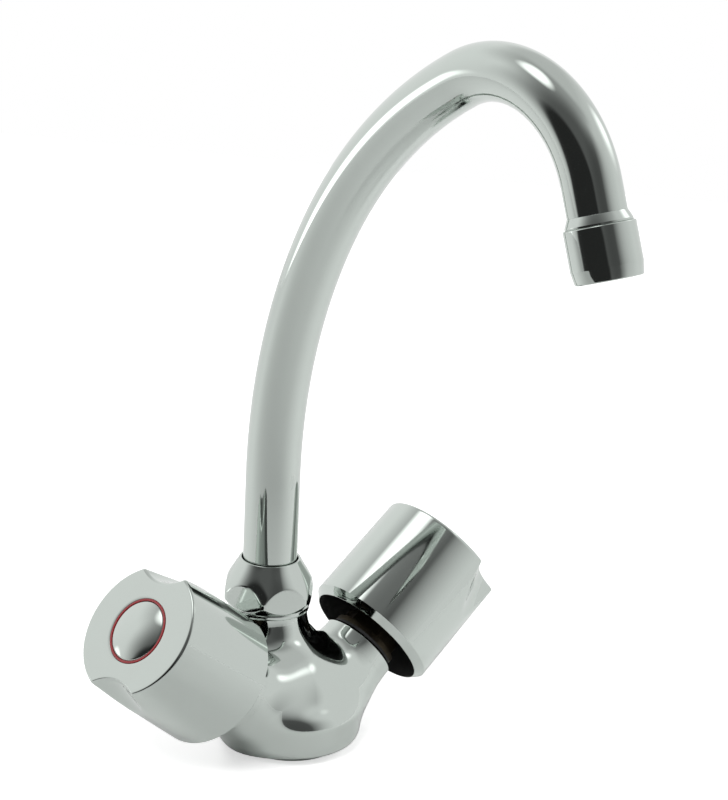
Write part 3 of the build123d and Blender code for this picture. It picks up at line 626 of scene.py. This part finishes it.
def cap_piece(side, columns=128):
    """Domed cap: a ball's cap of the given rise over its rim, on a short pressed-in skirt."""
    ball = (CAP_R ** 2 + CAP_RISE ** 2) / (2 * CAP_RISE)
    inner, skirt = CAP_SKIRT_R - CAP_WALL, INDEX_FLOOR - CAP_SKIRT_H
    plug = [(CAP_MIDDLE_R, INDEX_FLOOR), (inner, INDEX_FLOOR), (inner, skirt), (CAP_SKIRT_R, skirt),
            (CAP_SKIRT_R, INDEX_FLOOR)]
    edge = [(CAP_R, INDEX_FLOOR), (CAP_R, FACE - 0.25), (CAP_R - 0.07, FACE - 0.08),
            (CAP_R - 0.2, FACE + 0.05)]
    dome = [(r, FACE + CAP_RISE - ball + np.sqrt(ball ** 2 - r ** 2))
            for r in np.linspace(CAP_R - 0.4, CAP_MIDDLE_R, CAP_ROWS)]
    grid = turned(plug + edge + dome, columns)
    points = np.concatenate([grid.reshape(-1, 3), [(0, 0, INDEX_FLOOR), (0, 0, FACE + CAP_RISE)]])
    return new_piece(side + "_cap_dome", on_arm(side, points), closed_faces(*grid.shape[:2]), sharp=30)


# Finishes

def linked(tree, kind, inputs=None, **settings):
    """New node with its settings, and with each input linked to a socket or set to a value."""
    made = tree.nodes.new(kind)
    for name, value in settings.items():
        setattr(made, name, value)
    for name, value in (inputs or {}).items():
        if isinstance(value, bpy.types.NodeSocket):
            tree.links.new(value, made.inputs[name])
        else:
            made.inputs[name].default_value = value
    return made


def worked(tree, operation, *values):
    """Result of a sum or product of sockets and numbers."""
    return linked(tree, "ShaderNodeMath", dict(enumerate(values)), operation=operation).outputs[0]


def blended(tree, share, first, second):
    """A number that is the first value where the share is 0 and the second where it is 1."""
    return linked(tree, "ShaderNodeMix", {0: share, 2: first, 3: second}, data_type="FLOAT").outputs[0]


def tinted(tree, share, first, second):
    """A colour that is the first one where the share is 0 and the second where it is 1."""
    return linked(tree, "ShaderNodeMix", {0: share, 6: first, 7: second}, data_type="RGBA").outputs[2]


def ramped(tree, value, ends, results=(0.0, 1.0), curve="LINEAR"):
    """The value spread from its two ends to the two results, and kept between them."""
    return linked(tree, "ShaderNodeMapRange", {
        "Value": value, "From Min": ends[0], "From Max": ends[1], "To Min": results[0], "To Max": results[1]},
        interpolation_type=curve).outputs["Result"]


def noise(tree, coords, values):
    return linked(tree, "ShaderNodeTexNoise", {"Vector": coords, **values}).outputs["Fac"]


def patches(tree, coords, ends, values):
    """Soft patches from 0 to 1: noise over the piece, spread between two of its values."""
    return ramped(tree, noise(tree, coords, values), ends)


SOCKETS = {1: "NodeSocketFloat", 3: "NodeSocketVector", 4: "NodeSocketColor"}


def effect(name, inputs):
    """Empty node group with named inputs. Gives it, their sockets and the piece's own coordinates."""
    tree = bpy.data.node_groups.new(name, "ShaderNodeTree")
    for title, value in inputs.items():
        socket = tree.interface.new_socket(title, in_out="INPUT", socket_type=SOCKETS[np.size(value)])
        socket.default_value = value
    for title, size in (("Color", 4), ("Roughness", 1), ("Normal", 3)):
        tree.interface.new_socket(title, in_out="OUTPUT", socket_type=SOCKETS[size])
    given = tree.nodes.new("NodeGroupInput").outputs
    return tree, given, linked(tree, "ShaderNodeTexCoord").outputs["Object"]


def put_out(tree, tone, rough, bump):
    """Ends an effect with its colour, its roughness and the settings of its bump."""
    normal = linked(tree, "ShaderNodeBump", bump).outputs["Normal"]
    linked(tree, "NodeGroupOutput", {"Color": tone, "Roughness": rough, "Normal": normal})
    return tree


def handled_polish():
    """Signs of use on a hard bright face: cloudy wipe marks and faint specks in the roughness, and a
    slow waviness in the normal. Sizes are counts of marks per metre."""
    tree, given, coords = effect("handled polish", {
        "Tone": (0.6, 0.6, 0.6, 1), "Smear": 60.0, "Rough": 0.05, "Marks": 0.05, "Wave": 0.04})
    cloud = patches(tree, coords, (0.42, 0.72), {
        "Scale": given["Smear"], "Detail": 6.0, "Roughness": 0.62, "Distortion": 0.8})
    dots = patches(tree, coords, (0.68, 0.78), {"Scale": 1900.0, "Detail": 2.0})
    both = worked(tree, "MULTIPLY_ADD", dots, 0.5, cloud)
    rough = worked(tree, "MULTIPLY_ADD", both, given["Marks"], given["Rough"])
    tone = tinted(tree, worked(tree, "MULTIPLY", cloud, 0.06), given["Tone"], (0.5, 0.5, 0.48, 1))
    wave = noise(tree, coords, {"Scale": 130.0, "Detail": 1.0})
    return put_out(tree, tone, rough, {"Strength": given["Wave"], "Distance": 0.0002, "Height": wave})


def turned_marks():
    """Fine cutting lines round an axis, as a lathe leaves: bands along the mapped Z, with stains."""
    tree, given, coords = effect("lathe lines", {
        "Tone": (0.6, 0.6, 0.6, 1), "Shade": (0.3, 0.3, 0.3, 1), "Lean": (0, 0, 0), "Rough": 0.3})
    lean = linked(tree, "ShaderNodeMapping", {"Vector": coords, "Rotation": given["Lean"]}).outputs[0]
    lines = linked(tree, "ShaderNodeTexWave", {
        "Vector": lean, "Scale": 900.0, "Distortion": 1.5, "Detail": 2.0, "Detail Scale": 0.4},
        bands_direction="Z").outputs["Fac"]
    stain = patches(tree, coords, (0.45, 0.75), {"Scale": 240.0, "Detail": 5.0})
    tone = tinted(tree, stain, given["Tone"], given["Shade"])
    rough = worked(tree, "MULTIPLY_ADD", stain, 0.2, given["Rough"])
    return put_out(tree, tone, rough, {"Strength": 0.15, "Distance": 0.0001, "Height": lines})


def moulded_skin():
    """Moulded or vulcanised skin: fine grain in the normal and a patchy bloom in colour and roughness."""
    tree, given, coords = effect("moulded skin", {
        "Tone": (0.6, 0.6, 0.6, 1), "Bloom": (0.8, 0.8, 0.8, 1), "Amount": 0.2, "Rough": 0.4, "Grain": 0.1})
    mask = patches(tree, coords, (0.4, 0.75), {"Scale": 180.0, "Detail": 6.0, "Roughness": 0.6})
    tone = tinted(tree, worked(tree, "MULTIPLY", mask, given["Amount"]), given["Tone"], given["Bloom"])
    rough = worked(tree, "MULTIPLY_ADD", mask, 0.12, given["Rough"])
    grain = noise(tree, coords, {"Scale": 2600.0, "Detail": 3.0})
    return put_out(tree, tone, rough, {"Strength": given["Grain"], "Distance": 0.0001, "Height": grain})


def finish(name, group, metallic, inputs, shader=None):
    """Material whose colour, roughness and normal come from an effect with its own values."""
    material = bpy.data.materials.new(name)
    material.use_nodes = True
    tree = material.node_tree
    principled = tree.nodes["Principled BSDF"]
    principled.inputs["Metallic"].default_value = metallic
    for socket, value in (shader or {}).items():
        principled.inputs[socket].default_value = value
    look = tree.nodes.new("ShaderNodeGroup")
    look.node_tree = group
    for socket, value in inputs.items():
        look.inputs[socket].default_value = value
    tree.links.new(look.outputs["Color"], principled.inputs["Base Color"])
    tree.links.new(look.outputs["Roughness"], principled.inputs["Roughness"])
    tree.links.new(look.outputs["Normal"], principled.inputs["Normal"])
    return material


POLISH, LATHE, MOULDED = handled_polish(), turned_marks(), moulded_skin()
CHROME_TONE = (0.60, 0.65, 0.615, 1)
CHROME = finish("bright chrome", POLISH, 1.0, {"Tone": CHROME_TONE, "Rough": 0.05, "Marks": 0.05})
LEANS = {"neck": (0, 0, 0), "hot": (0, np.pi / 2 - TILT, 0), "cold": (0, TILT - np.pi / 2, 0)}


def lathed(name, tone, shade, rough):
    """One turned metal for each axis that its cutting lines can run round."""
    return {lean: finish(name + " " + lean, LATHE, 1.0, {
        "Tone": tone, "Shade": shade, "Lean": turn, "Rough": rough}) for lean, turn in LEANS.items()}


def moulded(name, tone, bloom, amount, rough, grain, shader=None):
    values = {"Tone": tone, "Bloom": bloom, "Amount": amount, "Rough": rough, "Grain": grain}
    return finish(name, MOULDED, 0.0, values, shader)


BRASS = lathed("machined brass", (0.78, 0.57, 0.27, 1), (0.45, 0.30, 0.13, 1), 0.22)
# Brass darkened to a painted shade, for the headwork that sits in the shadow under the knob
SHADED_HEADWORK = lathed("brass with painted shade", (0.10, 0.082, 0.055, 1), (0.045, 0.038, 0.028, 1), 0.34)
STEEL = lathed("stainless steel", (0.58, 0.58, 0.57, 1), (0.36, 0.36, 0.36, 1), 0.2)
RUBBER = moulded("black rubber", (0.018, 0.018, 0.019, 1), (0.08, 0.08, 0.08, 1), 0.4, 0.5, 0.3)
# Near-black painted shade for the inside of the knobs' skirts, where their hollow lies in shadow
CAVITY = moulded("painted cavity shade", (0.012, 0.0125, 0.012, 1), (0.03, 0.03, 0.028, 1), 0.5, 0.6, 0.3)
PLASTIC = moulded("moulded white plastic", (0.78, 0.78, 0.75, 1), (0.62, 0.61, 0.57, 1), 0.3, 0.38, 0.08)
VARNISH = {"Coat Weight": 0.6, "Coat Roughness": 0.08}
BANDS = {
    "hot": moulded("red enamel", (0.26, 0.004, 0.008, 1), (0.18, 0.003, 0.006, 1), 0.5, 0.2, 0.03, VARNISH),
    "cold": moulded("blue enamel", (0.006, 0.032, 0.26, 1), (0.004, 0.022, 0.18, 1), 0.5, 0.2, 0.03, VARNISH)}


def dress(piece, material, slot, body, *nodes):
    """Gives a new piece its finish, its place on a moving body and the nodes it stands for."""
    piece.data.materials.append(material)
    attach(piece, body)
    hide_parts(*nodes)


def refinish(node, material):
    """Puts a finish in a carried-over node's material slots."""
    held = frame["nodes"][node].data.materials
    if not len(held):
        held.append(material)
    for index in range(len(held)):
        held[index] = material


BAND_SLOTS = {"hot": "hot_red", "cold": "cold_blue"}


def build():
    dress(body_piece(), CHROME, "chrome", "tap_body", "body")
    dress(nut_piece(), CHROME, "chrome", "tap_body", "spout_nut")
    dress(tube_piece(), CHROME, "chrome", "spout", "spout_tube")
    dress(ferrule_piece(), CHROME, "chrome", "spout", "outlet_ferrule")
    dress(aerator_piece(), CHROME, "chrome", "spout", "aerator_housing")
    for node in ("base_gasket", "spout_orings", "aerator_washer"):
        refinish(node, RUBBER)
    for node in ("spout_slide_ring", "spout_thrust_ring", "aerator_insert"):
        refinish(node, PLASTIC)
    refinish("aerator_screen", STEEL["neck"])
    refinish("spout_tail", BRASS["neck"])
    for side in SIDES:
        handle = side + "_handle"
        knob = knob_piece(side)
        dress(knob, CHROME, "chrome", handle, side + "_knob", side + "_knob_skirt")
        # The skirt's inside gets the near-black painted shade
        paint_cavity_shade(knob, side, CAVITY)
        dress(index_ring_piece(side), BANDS[side], BAND_SLOTS[side], handle, side + "_index_ring")
        dress(cap_piece(side), CHROME, "chrome", handle, side + "_index_cap")
        refinish(side + "_knob_insert", PLASTIC)
        for part in ("spindle", "washer_carrier", "washer_nut"):
            refinish(side + "_" + part, BRASS[side])
        for part in ("bonnet", "gland"):
            # Bonnet and gland under the knob get brass darkened as painted shade
            refinish(side + "_" + part, SHADED_HEADWORK[side])
        for part in ("bonnet_gasket", "spindle_orings", "valve_washer"):
            refinish(side + "_" + part, RUBBER)
        for part in ("spindle_circlip", "knob_screw"):
            refinish(side + "_" + part, STEEL[side])


# Studio

AMBIENT = 0.45
FLOOR_FRONT, FLOOR_WIDE = 0.5, 0.85
FLOOR_TONE, FLOOR_LIFT = 0.8, 0.56
METAL_FLOOR = (0.45, 0.86)
FLOOR_RAMP = (-0.34, 0.1)
LIGHT_SIDE, DARK_SIDE = 45.0, -126.0
CARD_AWAY, CARD_H, CARD_TONE = 0.27, 0.6, 0.85
CARD_ENDS, CARD_SIDE_FADE, CARD_TOP_FADE = (-0.34, 0.5), 0.28, 0.25
SPOT_ALONG, SPOT_H, SPOT_R, SPOT_TONE = 0.02, 0.355, 0.1, 2.0

# What polished metal sees of the room: a wall tone, a ceiling tone with the heights, as sines, between
# which it sets in, and soft areas laid over them: name, bearing from +Y towards +X and height of the
# middle, angles at which the area is whole and gone, all in degrees, its tone and its share.
WALL_TONE, CEILING_TONE, CEILING_RAMP = 0.9, 0.42, (0.5, 1.0)
ROOM_AREAS = (("dark room", -122.0, 8.0, 42.0, 82.0, 0.12, 1.0),
              ("dark corner", -178.0, 18.0, 12.0, 42.0, 0.08, 0.9),
              ("dark doorway", -104.0, -6.0, 38.0, 46.0, 0.02, 0.95),
              ("low window", -32.0, -8.0, 4.0, 12.0, 2.6, 0.85),
              ("overhead soft box", -47.0, 69.0, 2.0, 18.0, 2.2, 0.9),
              ("bright back wall", 10.0, 28.0, 5.0, 60.0, 1.7, 0.08),
              ("grey side wall", 80.0, 48.0, 25.0, 42.0, 0.68, 1.0),
              ("grey screen", 140.0, 15.0, 2.0, 34.0, 0.3, 0.8))

# Name, place, size and power of each lamp, and the middle that all of them point at
LAMPS = (("key lamp", (-1.0, -0.6, 1.3), 0.7, 14),
         ("fill lamp", (1.1, -0.7, 0.9), 0.8, 7),
         ("back lamp", (0.2, 1.2, 1.2), 0.8, 7))
LAMP_TARGET = (0, 0, 0.12)

CAMERA_PLACE = np.array([-0.76831, -0.88203, 0.51590])
CAMERA_RIGHT = np.array([0.7501, -0.6599, 0.0426])
CAMERA_UP = np.array([0.1747, 0.2599, 0.9497])
CAMERA_LENS, CAMERA_SENSOR, CAMERA_NEAR = 154.4, 36.0, 0.01


def bearing(around, height):
    """Unit direction from degrees round from +Y towards +X, and degrees above the level."""
    around, height = np.radians(around), np.radians(height)
    return np.array([np.sin(around) * np.cos(height), np.cos(around) * np.cos(height), np.sin(height)])


def along(tree, coords, direction, label=""):
    """How far the coordinates reach in a direction."""
    return linked(tree, "ShaderNodeVectorMath", {0: coords, 1: tuple(direction)}, operation="DOT_PRODUCT",
                  label=label).outputs["Value"]


def sheet(name, corners, material_name):
    """Flat four-cornered piece whose shader gives white light of its own. Gives it, its tree and shader."""
    mesh = bpy.data.meshes.new(name)
    mesh.from_pydata([tuple(corner) for corner in corners], [], [(0, 1, 2, 3)])
    piece = bpy.data.objects.new(name, mesh)
    bpy.context.scene.collection.objects.link(piece)
    material = bpy.data.materials.new(material_name)
    material.use_nodes = True
    piece.data.materials.append(material)
    shader = material.node_tree.nodes["Principled BSDF"]
    shader.inputs["Specular IOR Level"].default_value = 0.0
    shader.inputs["Emission Color"].default_value = (1, 1, 1, 1)
    return piece, material.node_tree, shader


def floor():
    """Wide pale sweep that keeps the shadow and looks white to the camera. It ends a little in front of
    the tap, towards the dark room, and metal sees it brighter on the light side."""
    front, light = bearing(DARK_SIDE, 0), bearing(LIGHT_SIDE, 0)
    across = np.cross((0, 0, 1), front)
    plane, tree, shader = sheet("floor", [
        front * FLOOR_FRONT - across * FLOOR_WIDE, front * FLOOR_FRONT + across * FLOOR_WIDE,
        -front * FLOOR_WIDE + across * FLOOR_WIDE, -front * FLOOR_WIDE - across * FLOOR_WIDE], "studio floor")
    shader.inputs["Roughness"].default_value = 0.9
    coords = linked(tree, "ShaderNodeTexCoord").outputs["Object"]
    path = linked(tree, "ShaderNodeLightPath").outputs
    ramp = ramped(tree, along(tree, coords, light), FLOOR_RAMP, METAL_FLOOR, "SMOOTHSTEP")
    tone = blended(tree, path["Is Glossy Ray"], FLOOR_TONE, ramp)
    tree.links.new(tone, shader.inputs["Base Color"])
    lift = worked(tree, "MULTIPLY", path["Is Camera Ray"], FLOOR_LIFT)
    tree.links.new(lift, shader.inputs["Emission Strength"])


def reflector():
    """White card with a bright soft spot, which stands on the picture's right, just outside it. Its edges
    fade, and only polished metal sees it."""
    out, side = CAMERA_RIGHT * (1, 1, 0), np.cross((0, 0, 1), CAMERA_RIGHT)
    out, side = out / np.linalg.norm(out), side / np.linalg.norm(side)
    low, high = CARD_ENDS
    card, tree, shader = sheet("card", [
        out * CARD_AWAY + side * end + (0, 0, height)
        for end, height in ((low, 0), (high, 0), (high, CARD_H), (low, CARD_H))], "white card")
    card.visible_camera = card.visible_diffuse = card.visible_shadow = card.visible_transmission = False
    shader.inputs["Base Color"].default_value = (0.0, 0.0, 0.0, 1)
    coords = linked(tree, "ShaderNodeTexCoord").outputs["Object"]
    place = along(tree, coords, side)
    height = linked(tree, "ShaderNodeSeparateXYZ", {0: coords}).outputs["Z"]
    soft = 1.0
    for value, ends in ((place, (low, low + CARD_SIDE_FADE)), (place, (high, high - CARD_TOP_FADE)),
                        (height, (CARD_H, CARD_H - CARD_TOP_FADE))):
        soft = worked(tree, "MULTIPLY", soft, ramped(tree, value, ends))
    tree.links.new(soft, shader.inputs["Alpha"])
    spot = out * CARD_AWAY + side * SPOT_ALONG + (0, 0, SPOT_H)
    away = linked(tree, "ShaderNodeVectorMath", {0: coords, 1: tuple(spot)},
                  operation="DISTANCE").outputs["Value"]
    tone = ramped(tree, away, (SPOT_R, 0.0), (CARD_TONE, SPOT_TONE), "SMOOTHSTEP")
    tree.links.new(tone, shader.inputs["Emission Strength"])


def room(tree):
    """Strength that polished metal sees in each direction of the room."""
    coords = linked(tree, "ShaderNodeTexCoord").outputs["Generated"]
    height = linked(tree, "ShaderNodeSeparateXYZ", {0: coords}).outputs["Z"]
    tone = ramped(tree, height, CEILING_RAMP, (WALL_TONE, CEILING_TONE), "SMOOTHSTEP")
    for name, around, up, whole, gone, strength, share in ROOM_AREAS:
        near = along(tree, coords, bearing(around, up), label=name)
        ends = np.cos(np.radians(gone)), np.cos(np.radians(whole))
        tone = blended(tree, ramped(tree, near, ends, (0.0, share), "SMOOTHSTEP"), tone, strength)
    return tone


def world():
    """Soft even light on everything. The camera sees white, and polished metal sees the room."""
    made = bpy.data.worlds.new("studio")
    bpy.context.scene.world = made
    made.use_nodes = True
    tree = made.node_tree
    tree.nodes.clear()
    path = linked(tree, "ShaderNodeLightPath").outputs
    seen = worked(tree, "MAXIMUM", path["Is Camera Ray"], path["Is Transmission Ray"])
    plain = blended(tree, path["Is Glossy Ray"], AMBIENT, room(tree))
    light = linked(tree, "ShaderNodeBackground", {
        "Color": (1, 1, 1, 1), "Strength": blended(tree, seen, plain, 1.0)}).outputs["Background"]
    linked(tree, "ShaderNodeOutputWorld", {"Surface": light})


def facing(back, up, place):
    """Matrix of a camera or lamp from the direction behind it, an upward direction and its place."""
    back = back / np.linalg.norm(back)
    right = np.cross(up, back)
    right /= np.linalg.norm(right)
    turn = np.eye(4)
    turn[:3, 0], turn[:3, 1], turn[:3, 2], turn[:3, 3] = right, np.cross(back, right), back, place
    return Matrix(turn.tolist())


def camera():
    data = bpy.data.cameras.new("camera")
    data.sensor_width, data.lens, data.clip_start = CAMERA_SENSOR, CAMERA_LENS, CAMERA_NEAR
    seen = bpy.data.objects.new("camera", data)
    back = np.cross(CAMERA_RIGHT, CAMERA_UP)
    seen.matrix_world = facing(back, np.cross(back, CAMERA_RIGHT), CAMERA_PLACE)
    bpy.context.scene.collection.objects.link(seen)
    bpy.context.scene.camera = seen


def lamp(name, place, size, power):
    """Round soft lamp that points at the tap's middle. Metal sees the room instead of it."""
    data = bpy.data.lights.new(name, "AREA")
    data.shape, data.size, data.energy = "DISK", size, power
    made = bpy.data.objects.new(name, data)
    made.matrix_world = facing(np.subtract(place, LAMP_TARGET), np.array([0.0, 0.0, 1.0]), place)
    made.visible_glossy = False
    bpy.context.scene.collection.objects.link(made)


bpy.context.scene.view_settings.view_transform = "Standard"
build()
floor()
reflector()
world()
camera()
for values in LAMPS:
    lamp(*values)
